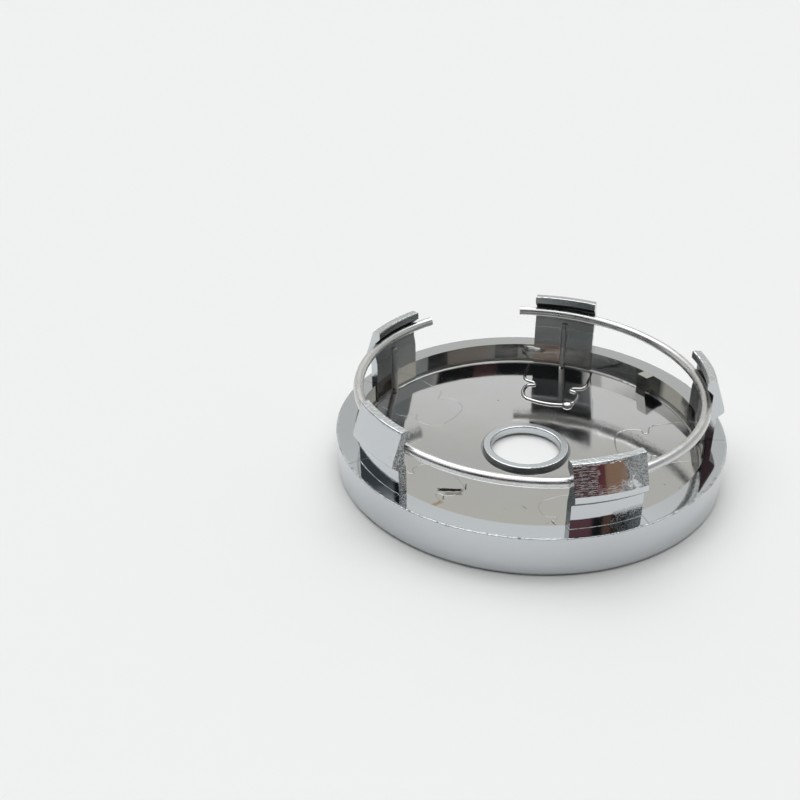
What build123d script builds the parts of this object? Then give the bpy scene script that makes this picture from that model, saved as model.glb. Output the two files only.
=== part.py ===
"""Snap-in wheel centre cap: a chrome-plated moulded body and the spring ring that spreads its clips."""

import math
import os

from build123d import *

# Driving dimensions, in millimetres and degrees.
# The cap lies on its face: the bead touches z = 0, and +Z is the way the cap is pushed into a wheel.

# Rim: outer wall, half-round bead on the face side, flat seat on the wheel side
OUTER_DIA = 60.0
WALL_T = 3.0
SEAT_Z = 6.25
SEAT_EDGE = 0.12
BEAD_W = 1.4

# Face: a crowned disc sunk below the bead, so that a badge can be glued in; it thickens towards the rim
RECESS_DEPTH = 1.2
RECESS_DRAFT = 0.3
FACE_CROWN = 1.1
BACK_CROWN = 1.9
DISC_T = 0.8
CORNER_FILLET = 0.6

# Centre hole, with a low boss behind it
HOLE_DIA = 11.0
HOLE_EDGE = 0.45
BOSS_WALL = 1.3
BOSS_H = 0.7
BOSS_EDGE = 0.22

# Spring ring: one open turn of round wire, which rides higher in the clip behind its gap
WIRE_DIA = 1.5
WIRE_FIT = 0.05
RING_TAIL = 2.8
RING_RISE = 0.55

# Clips: neck, barb outside, wire groove and lip inside
CLIP_COUNT = 5
CLIP_ANGLE = -2.7
CLIP_W = 10.4
NECK_SETBACK = 2.0
NECK_T = 1.25
NECK_FILLET = 0.08
GRIP_H = 3.75
BARB_REACH = 1.0
BARB_RISE = 0.95
LAND_H = 0.85
LAND_DRAFT = 0.15
LAND_EDGE = 0.35
BARB_EDGE = 0.3
GROOVE_DEPTH = 0.3
GROOVE_FOOT = 1.4
PLAY_BELOW = 0.75
PLAY_ABOVE = 0.25
LIP_REACH = 0.7
LIP_FLANK = 0.95
LIP_H = 1.15
TIP_T = 1.3
TIP_NOSE = 0.2
TIP_EDGE = 0.2

# Half-round rib up the middle of each clip, and one stop post between two clips
RIB_W = 1.05
RIB_EDGE = 0.4
RIB_STOP = 0.25
POST_W = 2.1
POST_DEPTH = 1.6

# Radii
OUTER_R = OUTER_DIA / 2
WALL_R = OUTER_R - WALL_T
BEAD_R = BEAD_W / 2
CREST_R = OUTER_R - BEAD_R
BEAD_FOOT_R = OUTER_R - BEAD_W
RECESS_R = BEAD_FOOT_R - RECESS_DRAFT
HOLE_R = HOLE_DIA / 2
BOSS_R = HOLE_R + BOSS_WALL
NECK_R = OUTER_R - NECK_SETBACK
NECK_BACK_R = NECK_R - NECK_T
BARB_R = NECK_R + BARB_REACH
GROOVE_R = NECK_BACK_R + GROOVE_DEPTH
LIP_R = NECK_BACK_R - LIP_REACH
RING_R = GROOVE_R - WIRE_FIT - WIRE_DIA / 2

# The crowned face and the dished back of the disc are arcs about the axis
FACE_R = (RECESS_R**2 + FACE_CROWN**2) / (2 * FACE_CROWN)
BACK_R = (WALL_R**2 + BACK_CROWN**2) / (2 * BACK_CROWN)


def face_z(radius):
    """Height of the crowned face at a radius."""
    return RECESS_DEPTH - FACE_CROWN + FACE_R - math.sqrt(FACE_R**2 - radius**2)


def back_z(radius):
    """Height of the disc's back at a radius."""
    return face_z(0) + DISC_T + BACK_R - math.sqrt(BACK_R**2 - radius**2)


# Heights
BOSS_Z = back_z(BOSS_R) + BOSS_H
ROOT_Z = (face_z(WALL_R) + back_z(WALL_R)) / 2
LEDGE_Z = SEAT_Z + GRIP_H
BARB_Z = LEDGE_Z + BARB_RISE
LAND_Z = BARB_Z + LAND_H
GROOVE_Z = LEDGE_Z + GROOVE_FOOT
RING_Z = GROOVE_Z + PLAY_BELOW + WIRE_DIA / 2
GROOVE_TOP_Z = RING_Z + WIRE_DIA / 2 + PLAY_ABOVE
LIP_Z = GROOVE_TOP_Z + LIP_FLANK
TIP_Z = LIP_Z + LIP_H
RIB_TOP_Z = GROOVE_Z - RIB_STOP

# Angles: the post and the ring's gap lie midway between clips, and the ring is highest past its gap
CLIP_PITCH = 360 / CLIP_COUNT
POST_ANGLE = CLIP_ANGLE + CLIP_PITCH / 2
GAP_ANGLE = CLIP_ANGLE + 1.5 * CLIP_PITCH
CLIP_HALF_ANGLE = math.degrees(math.asin(CLIP_W / 2 / RING_R))
GAP_HALF_ANGLE = CLIP_PITCH / 2 - CLIP_HALF_ANGLE - math.degrees(RING_TAIL / RING_R)
HIGH_ANGLE = CLIP_ANGLE + 2 * CLIP_PITCH
RING_TILT = math.degrees(math.atan(RING_RISE / RING_R))


def corner(sketch, radius, height):
    """The corner of a section at a radius and height."""
    return sketch.vertices().sort_by_distance((radius, height))[0]


# Clips: one section turned about the axis, then cut to parallel-sided tongues
with BuildPart() as clips:
    with BuildSketch(Plane.XZ) as clip_section:
        with BuildLine():
            Polyline(
                (NECK_BACK_R, ROOT_Z),
                (OUTER_R - NECK_SETBACK / 2, ROOT_Z),
                (OUTER_R - NECK_SETBACK / 2, SEAT_Z),
                (NECK_R, SEAT_Z),
                (NECK_R, LEDGE_Z),
                (BARB_R, BARB_Z),
                (BARB_R - LAND_DRAFT, LAND_Z),
                (LIP_R + TIP_T, TIP_Z),
                (LIP_R, TIP_Z),
                (LIP_R, LIP_Z),
                (GROOVE_R, GROOVE_TOP_Z),
                (GROOVE_R, GROOVE_Z),
                (NECK_BACK_R, LEDGE_Z),
                close=True,
            )
        make_face()
        fillet(corner(clip_section, NECK_R, SEAT_Z), NECK_FILLET)
        fillet(corner(clip_section, BARB_R, BARB_Z), BARB_EDGE)
        fillet(corner(clip_section, BARB_R - LAND_DRAFT, LAND_Z), LAND_EDGE)
        fillet(corner(clip_section, LIP_R + TIP_T, TIP_Z), TIP_NOSE)
        fillet(corner(clip_section, LIP_R, TIP_Z), TIP_EDGE)
    revolve(axis=Axis.Z)
    with BuildSketch() as clip_plan:
        with PolarLocations(OUTER_R, CLIP_COUNT, start_angle=CLIP_ANGLE):
            Rectangle(OUTER_R, CLIP_W)
    extrude(amount=TIP_Z, mode=Mode.INTERSECT)

# Ribs up the inside of the clips, rooted in the disc
with BuildPart() as ribs:
    with BuildSketch(Plane.XY.offset(ROOT_Z)) as rib_plan:
        with PolarLocations(NECK_BACK_R, CLIP_COUNT, start_angle=CLIP_ANGLE):
            Circle(RIB_W / 2)
    extrude(amount=RIB_TOP_Z - ROOT_Z)
    fillet(ribs.faces().group_by(Axis.Z)[-1].edges(), RIB_EDGE)

# Body: rim, bead, disc and boss are one turned section; clips, ribs and post grow from it
with BuildPart() as cap_body:
    with BuildSketch(Plane.XZ) as shell_section:
        with BuildLine():
            face_mid_r = (HOLE_R + RECESS_R) / 2
            back_mid_r = (BOSS_R + WALL_R) / 2
            face = ThreePointArc(
                (HOLE_R, face_z(HOLE_R)), (face_mid_r, face_z(face_mid_r)), (RECESS_R, RECESS_DEPTH)
            )
            flank = Line(face @ 1, (BEAD_FOOT_R, BEAD_R))
            bead = ThreePointArc(flank @ 1, (CREST_R, 0), (OUTER_R, BEAD_R))
            wall = Polyline(bead @ 1, (OUTER_R, SEAT_Z), (WALL_R, SEAT_Z), (WALL_R, back_z(WALL_R)))
            back = ThreePointArc(
                wall @ 1, (back_mid_r, back_z(back_mid_r)), (BOSS_R, back_z(BOSS_R))
            )
            Polyline(back @ 1, (BOSS_R, BOSS_Z), (HOLE_R, BOSS_Z), face @ 0)
        make_face()
        fillet(corner(shell_section, OUTER_R, SEAT_Z), SEAT_EDGE)
        fillet(corner(shell_section, WALL_R, back_z(WALL_R)), CORNER_FILLET)
        fillet(corner(shell_section, BOSS_R, BOSS_Z), BOSS_EDGE)
        fillet(corner(shell_section, HOLE_R, BOSS_Z), BOSS_EDGE)
        fillet(corner(shell_section, HOLE_R, face_z(HOLE_R)), HOLE_EDGE)
    revolve(axis=Axis.Z)
    add(clips.part)
    add(ribs.part)
    with BuildSketch(Plane.XY.offset(ROOT_Z)) as post_plan:
        with PolarLocations(WALL_R, 1, start_angle=POST_ANGLE):
            Rectangle(2 * POST_DEPTH, POST_W)
    extrude(amount=SEAT_Z - ROOT_Z)

# Spring ring: it lies in the clip grooves, with its gap between two clips
ring_plane = Plane.XY.offset(RING_Z).rotated((0, -RING_TILT, 0)).rotated((0, 0, HIGH_ANGLE))
with BuildPart() as retaining_ring:
    with BuildLine(ring_plane) as wire_line:
        tail_angle = GAP_ANGLE + GAP_HALF_ANGLE - HIGH_ANGLE
        CenterArc((0, 0), RING_R, tail_angle, 360 - 2 * GAP_HALF_ANGLE)
    with BuildSketch(Plane(wire_line.line @ 0, z_dir=wire_line.line % 0)):
        Circle(WIRE_DIA / 2)
    sweep(path=wire_line.line)

os.makedirs("parts", exist_ok=True)
cap_body.part.label = "cap_body"
export_step(cap_body.part, "parts/cap_body.step")
retaining_ring.part.label = "retaining_ring"
export_step(retaining_ring.part, "parts/retaining_ring.step")
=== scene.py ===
"""Looks of the snap-in wheel centre cap: scuffed chrome, drawn wire and moulding flash, on a pale table."""

import math

import bmesh
import bpy
from mathutils import Matrix, Vector


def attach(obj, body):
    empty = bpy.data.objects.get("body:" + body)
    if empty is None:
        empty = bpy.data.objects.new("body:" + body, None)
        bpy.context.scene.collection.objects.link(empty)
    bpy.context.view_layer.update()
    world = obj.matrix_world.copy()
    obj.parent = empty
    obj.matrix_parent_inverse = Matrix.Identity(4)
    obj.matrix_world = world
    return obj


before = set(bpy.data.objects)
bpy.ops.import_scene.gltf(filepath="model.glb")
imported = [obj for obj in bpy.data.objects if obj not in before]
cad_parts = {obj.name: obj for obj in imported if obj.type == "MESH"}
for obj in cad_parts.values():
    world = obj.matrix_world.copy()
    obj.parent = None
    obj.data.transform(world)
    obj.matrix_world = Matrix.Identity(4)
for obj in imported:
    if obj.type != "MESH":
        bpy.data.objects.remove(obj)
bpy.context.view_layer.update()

MM = 0.001

# Sizes of the solids that the finishes follow, in millimetres and degrees
OUTER_R = 30.0
WALL_R = 27.0
SEAT_Z = 6.25
CORNER_FILLET = 0.6
CLIP_BACK_R = 26.75
CLIP_HALF_W = 5.2
CLIP_COUNT = 5
CLIP_ANGLE = -2.7
CLIP_PITCH = 360 / CLIP_COUNT
RIB_W = 1.05
RIB_FOOT_Z = 3.3
RIB_TOP_Z = 11.15
LEDGE_Z = 10.0
LAND_Z = 11.8
GROOVE_TOP_Z = 13.9
TIP_Z = 16.0
BOSS_R = 6.8
DISC_T = 0.8
FACE_Z = 0.1
FACE_R = 364.6
BACK_Z = FACE_Z + DISC_T
BACK_R = 192.8
RING_R = 26.25
RING_Z = 12.9
RING_RISE = 0.55
RING_HIGH_ANGLE = 141.3

# Camera, fitted to the rims and clips in the photograph; its near and far limits are in metres
CAMERA_AT = Vector((-18.633, -125.508, 81.968)) * MM
CAMERA_FORWARD = Vector((-0.00891, 0.86826, -0.49603))
CAMERA_ROLL = math.radians(-1.19)
CAMERA_LENS = 41.858
CAMERA_NEAR = 0.001
CAMERA_FAR = 100

# Table, with its size in metres, and backdrop
FLOOR_SIZE = 30.0
FLOOR_COLOR = (0.80, 0.80, 0.795)
FLOOR_ROUGH = 0.9
BACKDROP_COLOR = (0.872, 0.878, 0.874)

# Light of the room by height above the horizon, in degrees
ROOM_BANDS = (
    (-90, (0.67, 0.66, 0.61)),
    (22, (0.67, 0.66, 0.61)),
    (31, (0.65, 0.65, 0.64)),
    (38, (0.82, 0.83, 0.83)),
    (48, (0.95, 0.96, 0.97)),
    (60, (1.42, 1.43, 1.44)),
)

# A soft lamp high behind the cap, a pale strip beside it, and dim things on the side it is seen from:
# bearings from the camera's side, heights and softness in degrees, colour
ROOM_PANELS = (
    (105, 190, 50, 84, 6.0, (3.20, 3.23, 3.27)),
    (-190, -105, 50, 84, 6.0, (3.20, 3.23, 3.27)),
    (-105, 72, -12, 22, 5.0, (0.125, 0.12, 0.112)),
    (66, 135, 26, 50, 6.0, (0.36, 0.38, 0.39)),
    (-150, -82, 26, 35.7, 0.8, (0.075, 0.09, 0.10)),
    (-100, -64, 39.2, 46, 1.0, (1.35, 1.36, 1.36)),
    (-50, 66, 20.5, 52, 2.0, (0.014, 0.016, 0.018)),
    (-98, -48, 24, 38.4, 0.8, (0.014, 0.016, 0.018)),
    (-105, -28, 4, 22, 4.0, (0.065, 0.075, 0.078)),
    (-18, 27, 9, 19, 2.0, (0.24, 0.24, 0.225)),
    (-27, -12, 12, 17, 1.0, (0.20, 0.11, 0.08)),
    (50, 78, -12, 19, 1.5, (0.36, 0.39, 0.40)),
    (20, 56, 10, 19, 1.5, (0.25, 0.225, 0.205)),
    (5, 31, -12, 9, 1.5, (0.10, 0.055, 0.055)),
    (30, 36, -12, 9, 0.6, (0.125, 0.04, 0.045)),
    (36, 48.6, -12, 9, 0.6, (0.29, 0.175, 0.12)),
    (48.6, 51.5, -12, 9, 0.5, (0.04, 0.035, 0.03)),
    (17, 35, 29, 41, 1.5, (0.19, 0.085, 0.10)),
    (42, 48, 31, 39, 1.0, (0.16, 0.09, 0.065)),
)

# Colours of the finishes
CHROME_COLOR = (0.590, 0.615, 0.630)
# Warm tint inside: partly the plating's own nickel tint, partly painted warm reflection on the inner wall and
# disc
NICKEL_AND_REFLECTION_COLOR = (0.590, 0.585, 0.568)
STAIN_COLOR = (0.30, 0.24, 0.15)
STAIN_SHARE = 0.85
# Near black of the flaws, and of the painted shade in the hollows and under the clips' ledges
FLAW_AND_SHADE_COLOR = (0.012, 0.010, 0.008)
WIRE_COLOR = (0.72, 0.73, 0.73)
WIRE_DARK = (0.58, 0.58, 0.57)

# How dark each mark is, from nought to one: black flaws, pinholes, chips, joints, cracks and dark spots are
# the plating's own; the ring at the boss's foot, the boss's wall, the corner round the disc, the clips'
# grooves, inner faces and undersides are painted shade
DARKNESS = {
    "black": 1.0,
    "specks": 0.75,
    "boss_foot": 0.6,
    "collar": 0.6,
    "corner": 0.42,
    "chips": 0.7,
    "joint": 0.7,
    "groove": 0.48,
    "inner": 0.32,
    "under": 0.8,
    "cracks": 0.48,
    "dark_spots": 0.64,
}

# Roughness of the plating, and of the wire: least and most, or one value
CHROME_ROUGH = (0.035, 0.065)
DISC_ROUGH = (0.06, 0.10)
SCUFF_ROUGH = 0.15
LEAD_IN_ROUGH = 0.22
NECK_ROUGH = 0.40
BOSS_ROUGH = 0.26
SIDE_ROUGH = 0.16
INNER_ROUGH = 0.14
RIB_ROUGH = 0.42
# Roughness of the flaws, which the places of painted shade take too
FLAW_AND_SHADE_ROUGH = 0.5
WIRE_ROUGH = (0.24, 0.36)

# How far the scuffs and the clips' sides take on their own roughness
SCUFF_SHARE = 0.8
SIDE_SHARE = 0.8

# Noises: scale, detail, and roughness where it isn't the usual one. The scale is for each millimetre,
# apart from the streaks and the wire's lines, whose places are stretched first
GRAIN = (5.2, 3.0, 0.65)
CRUMPLE = (2.4, 4.0, 0.6)
NICKS = (2.0, 3.0, 0.7)
STREAKS = (1.5, 4.0, 0.65)
RAGGED = (1.6, 3.0)
WANDER = (0.45, 3.0)
CLOUDS = (0.11, 3.0)
DULL_PATCHES = (0.3, 3.0)
WAVES = (0.16, 1.0)
RIPPLES = (0.35, 1.0)
WIRE_LINES = (2.4, 4.0, 0.6)
WIRE_BLOOMS = (0.45, 3.0, 0.6)
WIRE_GRAIN = (1.2, 2.0)

# Factors on the place round the cap and up it, which draw the streaks out lengthwise, and on the angles
# round the cap and round the wire for its lines
STREAK_STRETCH = (0.5, 6.0)
WIRE_STRETCH = (1.2, 2.4)

# Limits on the noises: where what they bring starts and is full
CHROME_LIMITS = (0.3, 0.7)
WARM_LIMITS = (0.25, 0.7)
DISC_LIMITS = (0.35, 0.7)
WANDER_LIMITS = (0.3, 0.7)
STREAK_LIMITS = (0.52, 0.62)
DARK_SPOT_LIMITS = (0.53, 0.43)
PALE_SPOT_LIMITS = (0.48, 0.58)
CRACK_LIMITS = (0.50, 0.40)
CHIP_LIMITS = (0.57, 0.65)
WIRE_LINE_LIMITS = (0.42, 0.62)
WIRE_BLOOM_LIMITS = (0.3, 0.7)

# Least and most of the warm colour inside, and of the dark spots
WARM_SHARE = (0.65, 1.0)
DARK_SPOT_SHARE = (0.35, 1.0)

# Depth of the relief, in millimetres
WAVE_DEPTH = 0.030
RIPPLE_DEPTH = 0.002
SCUFF_DEPTH = 0.003
GRAIN_DEPTH = 0.02
TORN_DEPTH = 0.20
SIDE_DEPTH = 0.03
NICK_DEPTH = 0.10
WIRE_LINE_DEPTH = 0.005
WIRE_GRAIN_DEPTH = 0.004

# Clips are counted from the right one, anticlockwise seen from above: one has torn sides, and another's
# plating is rough at one end
TORN_CLIP = 3
ROUGH_CLIP = 4

# Wear of the clips: distances aside from a clip's middle where it starts and is full, and how far these
# wander, in millimetres
SCRATCHES_FROM = (-2.3, -3.4)
ROUGH_LEAD_IN_FROM = (2.3, 2.9)
ROUGH_NECK_FROM = (0.2, 1.6)
WEAR_WANDER = 1.6

# How strong the scratches are: before they start and where they are full, and low on the lead-ins
SCRATCHES_SHARE = (0.04, 0.6)
LOW_SCRATCHES_SHARE = 0.35

# Cosines of the angle between two ways: where a finish starts and is full
LEANING = (0.5, 0.8)
LEANING_AWAY = (-0.5, -0.8)
SQUARE_ON = (0.6, 0.9)
OVERHUNG = (-0.25, -0.5)
SAME_CLIP = (0.90, 0.95)

# Pinholes: cells for each millimetre, share of the cells left bare, and radius in cells, outer and full
SPECK_SCALE = 0.42
SPECK_CHOICE = (0.70, 0.72)
SPECK_RADIUS = (0.075, 0.045)

# Flaws in the plating on the disc's back: start, end, width, and how brown they are
FLAWS = (
    ((-14.5, -12.2), (-10.8, -12.1), 0.8, 0.0),
    ((-13.4, -13.2), (-10.9, -13.15), 0.75, 0.6),
    ((-10.15, -10.3), (-10.25, -12.0), 0.16, 0.0),
    ((-13.75, -13.9), (-13.8, -15.0), 0.18, 0.2),
    ((-15.6, -16.9), (-13.9, -15.4), 0.8, 1.0),
    ((-2.4, -16.2), (-1.9, -17.0), 0.14, 0.3),
    ((1.2, -20.4), (1.6, -21.6), 0.16, 0.2),
)
FLAW_WANDER = 0.5

# Where a flaw starts and is full, in half lengths and half widths from its middle
FLAW_EDGE = (1.15, 0.8)

# Witness line of the mould insert at the foot of each clip, one half: distance inwards, distance aside.
# Its bead has a radius for each clip, and starts as a share of it that grows by one over a distance
WITNESS_HALF = (
    (1.0, 5.7), (3.4, 5.6), (6.2, 5.15), (7.2, 3.2), (7.9, 4.3),
    (9.2, 4.7), (10.6, 4.5), (11.6, 3.9), (12.1, 2.9),
)
WITNESS_RADIUS = {0: 0.10, 1: 0.34, 2: 0.04, 3: 0.06, 4: 0.04}
WITNESS_THIN_END = 0.25
WITNESS_THICKENS_OVER = 9

# Nodule on the witness line of one clip: place, radius, and height as a share of it
NODULE_CLIP = 1
NODULE_AT = (11.9, 3.6)
NODULE_RADIUS = 0.95
NODULE_FLATNESS = 0.7


class Graph:
    """A node tree, with one short call for each kind of node used here."""

    def __init__(self, tree):
        self.nodes = tree.nodes
        self.links = tree.links

    def add(self, kind, **settings):
        node = self.nodes.new(kind)
        for name, value in settings.items():
            setattr(node, name, value)
        return node

    def feed(self, socket, value):
        """Links a socket to another one, or sets it to a plain value."""
        if isinstance(value, bpy.types.NodeSocket):
            self.links.new(value, socket)
        else:
            socket.default_value = value

    def math(self, operation, *values):
        node = self.add("ShaderNodeMath", operation=operation)
        for socket, value in zip(node.inputs, values):
            self.feed(socket, value)
        return node.outputs[0]

    def times(self, first, *others):
        """Product of several values."""
        for other in others:
            first = self.math("MULTIPLY", first, other)
        return first

    def most(self, first, *others):
        """Largest of several values."""
        for other in others:
            first = self.math("MAXIMUM", first, other)
        return first

    def vector_math(self, operation, *values):
        node = self.add("ShaderNodeVectorMath", operation=operation)
        for socket, value in zip(node.inputs, values):
            self.feed(socket, value)
        return node.outputs["Value" if operation in ("LENGTH", "DOT_PRODUCT") else "Vector"]

    def scaled(self, vector, factor):
        node = self.add("ShaderNodeVectorMath", operation="SCALE")
        self.feed(node.inputs[0], vector)
        self.feed(node.inputs["Scale"], factor)
        return node.outputs["Vector"]

    def split(self, vector):
        node = self.add("ShaderNodeSeparateXYZ")
        self.feed(node.inputs[0], vector)
        return node.outputs

    def join(self, *values):
        node = self.add("ShaderNodeCombineXYZ")
        for socket, value in zip(node.inputs, values):
            self.feed(socket, value)
        return node.outputs[0]

    def step(self, value, low, high, start=0.0, end=1.0):
        """A smooth step from start, where the value is low, to end, where it is high."""
        node = self.add("ShaderNodeMapRange", interpolation_type="SMOOTHSTEP")
        self.feed(node.inputs["Value"], value)
        for name, number in (("From Min", low), ("From Max", high), ("To Min", start), ("To Max", end)):
            self.feed(node.inputs[name], number)
        return node.outputs["Result"]

    def band(self, value, low, high, soft):
        """One between low and high, nought outside, with soft edges."""
        rise = self.step(value, low - soft, low + soft)
        fall = self.step(value, high + soft, high - soft)
        return self.times(rise, fall)

    def noise(self, place, scale, detail=2.0, roughness=0.5):
        node = self.add("ShaderNodeTexNoise")
        self.feed(node.inputs["Vector"], place)
        self.feed(node.inputs["Scale"], scale)
        self.feed(node.inputs["Detail"], detail)
        self.feed(node.inputs["Roughness"], roughness)
        return node.outputs[0]

    def mix(self, factor, first, second):
        """Blend of two colours."""
        node = self.add("ShaderNodeMix", data_type="RGBA")
        self.feed(node.inputs[0], factor)
        for socket, color in ((node.inputs[6], first), (node.inputs[7], second)):
            self.feed(socket, color if isinstance(color, bpy.types.NodeSocket) else (*color, 1))
        return node.outputs[2]

    def blend(self, factor, first, second):
        """Blend of two numbers."""
        node = self.add("ShaderNodeMix", data_type="FLOAT")
        self.feed(node.inputs[0], factor)
        self.feed(node.inputs[2], first)
        self.feed(node.inputs[3], second)
        return node.outputs[0]

    def bump(self, height, depth, normal=None, mask=None):
        """Relief of a height from nought to one about its middle, over a depth in millimetres, in a mask."""
        height = self.math("SUBTRACT", height, 0.5)
        if mask is not None:
            height = self.times(height, mask)
        node = self.add("ShaderNodeBump")
        self.feed(node.inputs["Strength"], 1.0)
        self.feed(node.inputs["Distance"], depth * MM)
        self.feed(node.inputs["Height"], height)
        if normal is not None:
            self.feed(node.inputs["Normal"], normal)
        return node.outputs[0]


class Metal(Graph):
    """A metal's node tree, with the part's own coordinates in millimetres."""

    def __init__(self, material):
        material.use_nodes = True
        super().__init__(material.node_tree)
        self.shader = self.nodes["Principled BSDF"]
        self.shader.inputs["Metallic"].default_value = 1.0
        source = self.add("ShaderNodeTexCoord")
        self.place = self.scaled(source.outputs["Object"], 1 / MM)
        self.x, self.y, self.z = self.split(self.place)
        self.flat = self.join(self.x, self.y, 0.0)
        self.radius = self.vector_math("LENGTH", self.flat)
        self.turn = self.math("ARCTAN2", self.y, self.x)
        self.normal = source.outputs["Normal"]


def clip_way(clip):
    """The way from the axis to a clip."""
    turn = math.radians(CLIP_ANGLE + clip * CLIP_PITCH)
    return Vector((math.cos(turn), math.sin(turn), 0))


def near_clip(metal, outwards, clip):
    """Where a clip is, by the way from the axis."""
    return metal.step(metal.vector_math("DOT_PRODUCT", outwards, clip_way(clip)), *SAME_CLIP)


def disc_masks(metal, facing, upright):
    """Where the disc's back, the corner round it and the boss are, from place and facing."""
    # Heights over the crowned face and the dished back, each taken as a parabola
    square = metal.times(metal.radius, metal.radius)
    over_face = metal.math("SUBTRACT", metal.z, metal.math("DIVIDE", square, 2 * FACE_R))
    over_back = metal.math("SUBTRACT", metal.z, metal.math("DIVIDE", square, 2 * BACK_R))
    above = metal.step(over_face, FACE_Z + 0.3, FACE_Z + 0.5)
    within = metal.step(metal.radius, WALL_R + 0.25, WALL_R + 0.05)
    round_boss = metal.step(metal.radius, BOSS_R, BOSS_R + 0.15)
    below = metal.step(metal.z, SEAT_Z + 1.0, SEAT_Z)
    inside = metal.times(above, within, round_boss, below)
    disc = metal.times(inside, metal.step(over_back, BACK_Z + 0.4, BACK_Z + 0.2))
    at_wall = metal.step(metal.radius, WALL_R - CORNER_FILLET - 0.05, WALL_R - CORNER_FILLET + 0.15)
    low = metal.step(over_back, BACK_Z + 0.75, BACK_Z + 0.55)
    on_boss = metal.times(above, metal.step(metal.radius, BOSS_R + 0.15, BOSS_R))
    boss_wall = metal.times(above, metal.step(metal.radius, BOSS_R + 0.1, BOSS_R))
    # The corner, the boss's wall (collar) and the ring at the boss's foot are darkened later as painted shade
    return {
        "inside": inside,
        "disc": disc,
        "corner": metal.times(inside, at_wall, low),
        "boss": metal.times(on_boss, metal.step(upright, *SQUARE_ON)),
        "collar": metal.times(boss_wall, metal.step(facing, *SQUARE_ON)),
        "boss_foot": metal.times(metal.step(metal.radius, BOSS_R + 0.45, BOSS_R + 0.1), disc),
    }


def clip_masks(metal, outwards, facing, upright):
    """Where the faces of the clips are, from place and facing."""
    aside = metal.vector_math("CROSS_PRODUCT", outwards, metal.normal)
    aside = metal.math("ABSOLUTE", metal.split(aside)[2])
    clip = metal.step(metal.z, SEAT_Z + 0.1, SEAT_Z + 0.4)
    side = metal.times(clip, metal.step(aside, *SQUARE_ON))
    inner = metal.times(clip, metal.step(facing, *LEANING_AWAY))
    outer = metal.step(facing, *LEANING)
    behind = metal.band(metal.radius, CLIP_BACK_R - RIB_W, CLIP_BACK_R - 0.03, 0.01)
    return {
        # The inner faces, the grooves in them and the undersides (under) are darkened later as painted shade
        "side": side,
        "inner": inner,
        "lead_in": metal.times(metal.step(metal.z, LAND_Z - 0.15, LAND_Z + 0.1), outer),
        "neck": metal.times(metal.band(metal.z, SEAT_Z - 0.1, SEAT_Z + 2.2, 0.2), outer),
        "torn": metal.times(side, near_clip(metal, outwards, TORN_CLIP)),
        "coarse": near_clip(metal, outwards, ROUGH_CLIP),
        "under": metal.times(clip, metal.step(upright, *OVERHUNG)),
        "groove": metal.times(inner, metal.band(metal.z, LEDGE_Z + 0.1, GROOVE_TOP_Z, 0.15)),
        "tip": metal.step(metal.z, TIP_Z - 0.4, TIP_Z - 0.15),
        "behind": metal.times(behind, metal.band(metal.z, RIB_FOOT_Z, RIB_TOP_Z + 0.2, 0.1)),
    }


def chrome_masks(metal):
    """Where each surface of the cap is, from place and facing."""
    outwards = metal.vector_math("NORMALIZE", metal.flat)
    facing = metal.vector_math("DOT_PRODUCT", metal.normal, outwards)
    upright = metal.split(metal.normal)[2]
    masks = disc_masks(metal, facing, upright)
    masks.update(clip_masks(metal, outwards, facing, upright))
    rim = metal.step(metal.radius, OUTER_R - 0.45, OUTER_R - 0.1)
    masks["edge"] = metal.times(rim, metal.step(metal.z, SEAT_Z - 0.3, SEAT_Z - 0.05))
    masks["seat"] = metal.band(metal.z, SEAT_Z - 0.05, SEAT_Z + 0.05, 0.02)
    return masks


def add_flaws(metal, masks):
    """Adds short scratches and stains in the plating, each a soft box along its own line."""
    ragged = metal.scaled(metal.noise(metal.place, *RAGGED), FLAW_WANDER)
    place = metal.vector_math("ADD", metal.flat, ragged)
    middle_of_wander = Vector((FLAW_WANDER / 2, FLAW_WANDER / 2, 0))
    black, brown = 0.0, 0.0
    for start, end, width, brownness in FLAWS:
        start, end = Vector((*start, 0)), Vector((*end, 0))
        along = end - start
        box = metal.add("ShaderNodeMapping", vector_type="TEXTURE")
        metal.feed(box.inputs["Vector"], place)
        box.inputs["Location"].default_value = (start + end) / 2 + middle_of_wander
        box.inputs["Rotation"].default_value = (0, 0, math.atan2(along.y, along.x))
        box.inputs["Scale"].default_value = (along.length / 2, width / 2, 1)
        across = metal.split(metal.vector_math("ABSOLUTE", box.outputs[0]))
        reach = metal.most(across[0], across[1])
        mask = metal.times(metal.step(reach, *FLAW_EDGE), masks["inside"])
        black = metal.most(black, metal.times(mask, 1 - brownness))
        brown = metal.most(brown, metal.times(mask, brownness))
    masks["black"], masks["brown"] = black, brown


def add_specks(metal, masks):
    """Adds pinholes and dust on the disc's back."""
    cells = metal.add("ShaderNodeTexVoronoi")
    metal.feed(cells.inputs["Vector"], metal.place)
    cells.inputs["Scale"].default_value = SPECK_SCALE
    chosen = metal.step(metal.split(cells.outputs["Color"])[0], *SPECK_CHOICE)
    near = metal.step(cells.outputs["Distance"], *SPECK_RADIUS)
    masks["specks"] = metal.times(near, chosen, masks["inside"])


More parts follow.
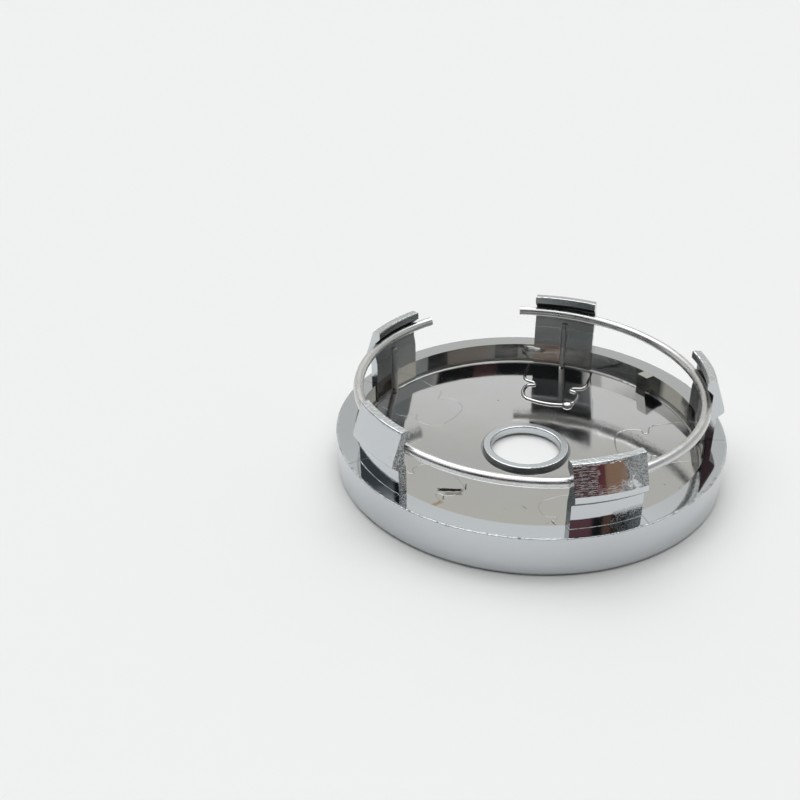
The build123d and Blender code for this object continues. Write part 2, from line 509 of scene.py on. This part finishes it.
def add_clip_wear(metal, masks, exact, grain):
    """Adds scratches round the lead-ins, in patches, and the rough plating at one end of one clip."""
    wander = metal.noise(metal.place, *WANDER)
    wander = metal.step(wander, *WANDER_LIMITS, -WEAR_WANDER, WEAR_WANDER)
    across = metal.math("ADD", exact, wander)
    arc = metal.times(metal.turn, OUTER_R)
    along, up = STREAK_STRETCH
    unrolled = metal.join(metal.times(arc, along), metal.times(metal.z, up), 0.0)
    streaks = metal.step(metal.noise(unrolled, *STREAKS), *STREAK_LIMITS)
    low_down = metal.step(metal.z, LAND_Z + 1.6, LAND_Z + 0.5, 0.0, LOW_SCRATCHES_SHARE)
    scratched = metal.most(metal.step(across, *SCRATCHES_FROM, *SCRATCHES_SHARE), low_down)
    masks["scuffs"] = metal.times(streaks, scratched, masks["lead_in"])
    on_lead_in = metal.times(metal.step(across, *ROUGH_LEAD_IN_FROM), masks["lead_in"], masks["coarse"])
    on_neck = metal.times(metal.step(across, *ROUGH_NECK_FROM), masks["neck"], masks["coarse"])
    masks["bloom"] = metal.most(on_lead_in, on_neck)
    dark_grain = metal.step(grain, *DARK_SPOT_LIMITS, *DARK_SPOT_SHARE)
    masks["dark_spots"] = metal.times(on_lead_in, dark_grain)
    masks["pale_spots"] = metal.times(masks["bloom"], metal.step(grain, *PALE_SPOT_LIMITS))


def chrome_roughness(metal, masks, clouds, dark):
    """Bright plating, duller on the disc's back, the ribs, the boss, where it is worn, and on the flaws,
    stains and places of painted shade.
    """
    rough = metal.step(clouds, *CHROME_LIMITS, *CHROME_ROUGH)
    dull = metal.step(metal.noise(metal.place, *DULL_PATCHES), *DISC_LIMITS, *DISC_ROUGH)
    for mask, value in (
        (masks["disc"], dull),
        (metal.times(masks["scuffs"], SCUFF_SHARE), SCUFF_ROUGH),
        (masks["pale_spots"], metal.blend(masks["lead_in"], NECK_ROUGH, LEAD_IN_ROUGH)),
        (masks["boss"], BOSS_ROUGH),
        (metal.times(masks["side"], SIDE_SHARE), SIDE_ROUGH),
        (masks["inner"], INNER_ROUGH),
        (masks["rib"], RIB_ROUGH),
        (metal.most(masks["brown"], dark), FLAW_AND_SHADE_ROUGH),
    ):
        rough = metal.blend(mask, rough, value)
    return rough


def chrome_material():
    """Bright plating on moulded plastic: cool outside, warmer and duller inside, scuffed where it slides,
    with painted shade in its hollows and under its ledges. The warmer colour inside is partly the plating's
    own tint and partly painted warm reflection.
    """
    material = bpy.data.materials.new("chrome_plating")
    metal = Metal(material)
    masks = chrome_masks(metal)

    # Distance aside from the middle of the nearest clip
    half_pitch = math.radians(CLIP_PITCH / 2)
    turn = metal.math("SUBTRACT", metal.turn, math.radians(CLIP_ANGLE))
    turn = metal.math("WRAP", turn, half_pitch, -half_pitch)
    exact = metal.times(metal.math("SINE", turn), metal.radius)
    aside = metal.math("ABSOLUTE", exact)

    # Wear, flaws, torn sides, dull ribs, nicks in the rim, and the mould's joint beside each clip
    grain = metal.noise(metal.place, *GRAIN)
    crumple = metal.noise(metal.place, *CRUMPLE)
    nicks = metal.noise(metal.place, *NICKS)
    add_clip_wear(metal, masks, exact, grain)
    add_flaws(metal, masks)
    add_specks(metal, masks)
    masks["cracks"] = metal.times(metal.step(crumple, *CRACK_LIMITS), masks["torn"])
    masks["rib"] = metal.times(metal.step(aside, RIB_W / 2 + 0.1, RIB_W / 2), masks["behind"])
    masks["chips"] = metal.times(metal.step(nicks, *CHIP_LIMITS), masks["edge"])
    beside_clip = metal.band(aside, CLIP_HALF_W + 0.12, CLIP_HALF_W + 0.2, 0.04)
    masks["joint"] = metal.times(beside_clip, masks["seat"])
    # Darkening: the plating's flaws, pinholes, chips, cracks, spots and joints, and painted shade in the
    # corner, the grooves, the inner faces, under the ledges and round the boss
    dark = metal.most(*(metal.times(masks[name], share) for name, share in DARKNESS.items()))

    # Colour
    clouds = metal.noise(metal.place, *CLOUDS)
    # Warm tint inside, partly the plating's own and partly painted warm reflection
    warm = metal.times(masks["inside"], metal.step(clouds, *WARM_LIMITS, *WARM_SHARE))
    color = metal.mix(warm, CHROME_COLOR, NICKEL_AND_REFLECTION_COLOR)
    color = metal.mix(metal.times(masks["brown"], STAIN_SHARE), color, STAIN_COLOR)
    metal.feed(metal.shader.inputs["Base Color"], metal.mix(dark, color, FLAW_AND_SHADE_COLOR))
    metal.feed(metal.shader.inputs["Roughness"], chrome_roughness(metal, masks, clouds, dark))

    # Relief
    relief = None
    for height, depth, mask in (
        (metal.noise(metal.place, *WAVES), WAVE_DEPTH, masks["disc"]),
        (metal.noise(metal.place, *RIPPLES), RIPPLE_DEPTH, None),
        (masks["scuffs"], SCUFF_DEPTH, None),
        (grain, GRAIN_DEPTH, masks["bloom"]),
        (crumple, TORN_DEPTH, masks["torn"]),
        (crumple, SIDE_DEPTH, masks["side"]),
        (nicks, NICK_DEPTH, metal.most(masks["edge"], masks["tip"])),
    ):
        relief = metal.bump(height, depth, relief, mask)
    metal.feed(metal.shader.inputs["Normal"], relief)
    return material


def wire_material():
    """Drawn spring wire with a bright zinc finish: fine lines along it and grey blooms."""
    material = bpy.data.materials.new("spring_wire")
    metal = Metal(material)
    slope = RING_RISE / RING_R
    high = math.radians(RING_HIGH_ANGLE)
    tilt = (slope * math.cos(high), slope * math.sin(high), 0)
    rise = metal.vector_math("DOT_PRODUCT", metal.flat, tilt)
    height = metal.math("SUBTRACT", metal.math("SUBTRACT", metal.z, RING_Z), rise)
    round_wire = metal.math("ARCTAN2", height, metal.math("SUBTRACT", metal.radius, RING_R))
    along, around = WIRE_STRETCH
    drawn = metal.join(metal.times(metal.turn, along), metal.times(round_wire, around), 0.0)
    lines = metal.noise(drawn, *WIRE_LINES)
    blooms = metal.noise(metal.place, *WIRE_BLOOMS)
    color = metal.mix(metal.step(lines, *WIRE_LINE_LIMITS), WIRE_DARK, WIRE_COLOR)
    metal.feed(metal.shader.inputs["Base Color"], color)
    metal.feed(metal.shader.inputs["Roughness"], metal.step(blooms, *WIRE_BLOOM_LIMITS, *WIRE_ROUGH))
    relief = metal.bump(lines, WIRE_LINE_DEPTH)
    relief = metal.bump(metal.noise(metal.place, *WIRE_GRAIN), WIRE_GRAIN_DEPTH, relief)
    metal.feed(metal.shader.inputs["Normal"], relief)
    return material


def floor_material():
    """Plain matt table."""
    material = bpy.data.materials.new("table")
    material.use_nodes = True
    shader = material.node_tree.nodes["Principled BSDF"]
    shader.inputs["Base Color"].default_value = (*FLOOR_COLOR, 1)
    shader.inputs["Roughness"].default_value = FLOOR_ROUGH
    shader.inputs["Specular IOR Level"].default_value = 0.0
    return material


def set_material(piece, material):
    """Gives a piece one material."""
    piece.data.materials.clear()
    piece.data.materials.append(material)


def on_disc(clip, inwards, aside):
    """The point of the disc's back in front of a clip, in metres."""
    outwards = clip_way(clip)
    along = Vector((outwards.y, -outwards.x, 0))
    place = outwards * (CLIP_BACK_R - inwards) + along * aside
    place.z = BACK_Z + BACK_R - math.sqrt(BACK_R**2 - place.length_squared)
    return place * MM


def curve_mesh(points, radius, thins):
    """A round bead along smooth points, thinner where told, as a mesh."""
    curve = bpy.data.curves.new("bead", "CURVE")
    curve.dimensions = "3D"
    curve.bevel_depth = radius
    curve.bevel_resolution = 3
    curve.use_fill_caps = True
    spline = curve.splines.new("BEZIER")
    spline.resolution_u = 8
    spline.bezier_points.add(len(points) - 1)
    for knot, point, thin in zip(spline.bezier_points, points, thins):
        knot.co = point
        knot.radius = thin
        knot.handle_left_type = "AUTO"
        knot.handle_right_type = "AUTO"
    holder = bpy.data.objects.new("bead", curve)
    mesh = bpy.data.meshes.new_from_object(holder)
    bpy.data.objects.remove(holder)
    bpy.data.curves.remove(curve)
    return mesh


def make_flash(material):
    """Plated-over flash on the disc, along the edge of the mould insert that shaped each clip."""
    shape = bmesh.new()
    outline = [(inwards, -aside) for inwards, aside in WITNESS_HALF]
    outline += reversed(WITNESS_HALF)
    thins = [min(1.0, WITNESS_THIN_END + inwards / WITNESS_THICKENS_OVER) for inwards, _ in outline]
    for clip, radius in WITNESS_RADIUS.items():
        bead = curve_mesh([on_disc(clip, *point) for point in outline], radius * MM, thins)
        shape.from_mesh(bead)
        bpy.data.meshes.remove(bead)
    place = Matrix.Translation(on_disc(NODULE_CLIP, *NODULE_AT)) @ Matrix.Diagonal((1, 1, NODULE_FLATNESS, 1))
    bmesh.ops.create_uvsphere(shape, u_segments=32, v_segments=16, radius=NODULE_RADIUS * MM, matrix=place)
    mesh = bpy.data.meshes.new("moulding_flash")
    shape.to_mesh(mesh)
    shape.free()
    mesh.shade_smooth()
    flash = bpy.data.objects.new("moulding_flash", mesh)
    bpy.context.scene.collection.objects.link(flash)
    set_material(flash, material)
    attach(flash, "root")


def make_floor():
    """A flat table that runs out of sight."""
    half = FLOOR_SIZE / 2
    mesh = bpy.data.meshes.new("floor")
    corners = [(-half, -half, 0), (half, -half, 0), (half, half, 0), (-half, half, 0)]
    mesh.from_pydata(corners, [], [(0, 1, 2, 3)])
    floor = bpy.data.objects.new("floor", mesh)
    bpy.context.scene.collection.objects.link(floor)
    set_material(floor, floor_material())


def make_camera():
    """The photograph's camera."""
    data = bpy.data.cameras.new("camera")
    data.lens = CAMERA_LENS
    data.clip_start = CAMERA_NEAR
    data.clip_end = CAMERA_FAR
    camera = bpy.data.objects.new("camera", data)
    bpy.context.scene.collection.objects.link(camera)
    turn = CAMERA_FORWARD.to_track_quat("-Z", "Y").to_matrix().to_4x4()
    camera.matrix_world = Matrix.Translation(CAMERA_AT) @ turn @ Matrix.Rotation(CAMERA_ROLL, 4, "Z")
    bpy.context.scene.camera = camera


def make_world():
    """A soft room: bright overhead, pale behind the part, dim things on the side it is seen from."""
    world = bpy.data.worlds.new("room")
    world.use_nodes = True
    world.node_tree.nodes.clear()
    room = Graph(world.node_tree)
    source = room.add("ShaderNodeTexCoord")
    x, y, z = room.split(source.outputs["Generated"])
    height = room.math("DEGREES", room.math("ARCSINE", z))
    bearing = room.math("DEGREES", room.math("ARCTAN2", x, room.times(y, -1.0)))
    light = ROOM_BANDS[0][1]
    for (low, _), (high, color) in zip(ROOM_BANDS, ROOM_BANDS[1:]):
        light = room.mix(room.step(height, low, high), light, color)
    for left, right, low, high, soft, color in ROOM_PANELS:
        mask = room.times(room.band(bearing, left, right, soft), room.band(height, low, high, soft))
        light = room.mix(mask, light, color)
    lit = room.add("ShaderNodeBackground")
    room.feed(lit.inputs["Color"], light)
    seen = room.add("ShaderNodeBackground")
    room.feed(seen.inputs["Color"], (*BACKDROP_COLOR, 1))
    path = room.add("ShaderNodeLightPath")
    pick = room.add("ShaderNodeMixShader")
    room.feed(pick.inputs[0], path.outputs["Is Camera Ray"])
    room.feed(pick.inputs[1], lit.outputs[0])
    room.feed(pick.inputs[2], seen.outputs[0])
    output = room.add("ShaderNodeOutputWorld")
    room.feed(output.inputs["Surface"], pick.outputs[0])
    bpy.context.scene.world = world


bpy.context.scene.view_settings.view_transform = "Standard"
make_camera()
make_world()
make_floor()
chrome = chrome_material()
set_material(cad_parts["cap_body"], chrome)
set_material(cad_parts["retaining_ring"], wire_material())
make_flash(chrome)
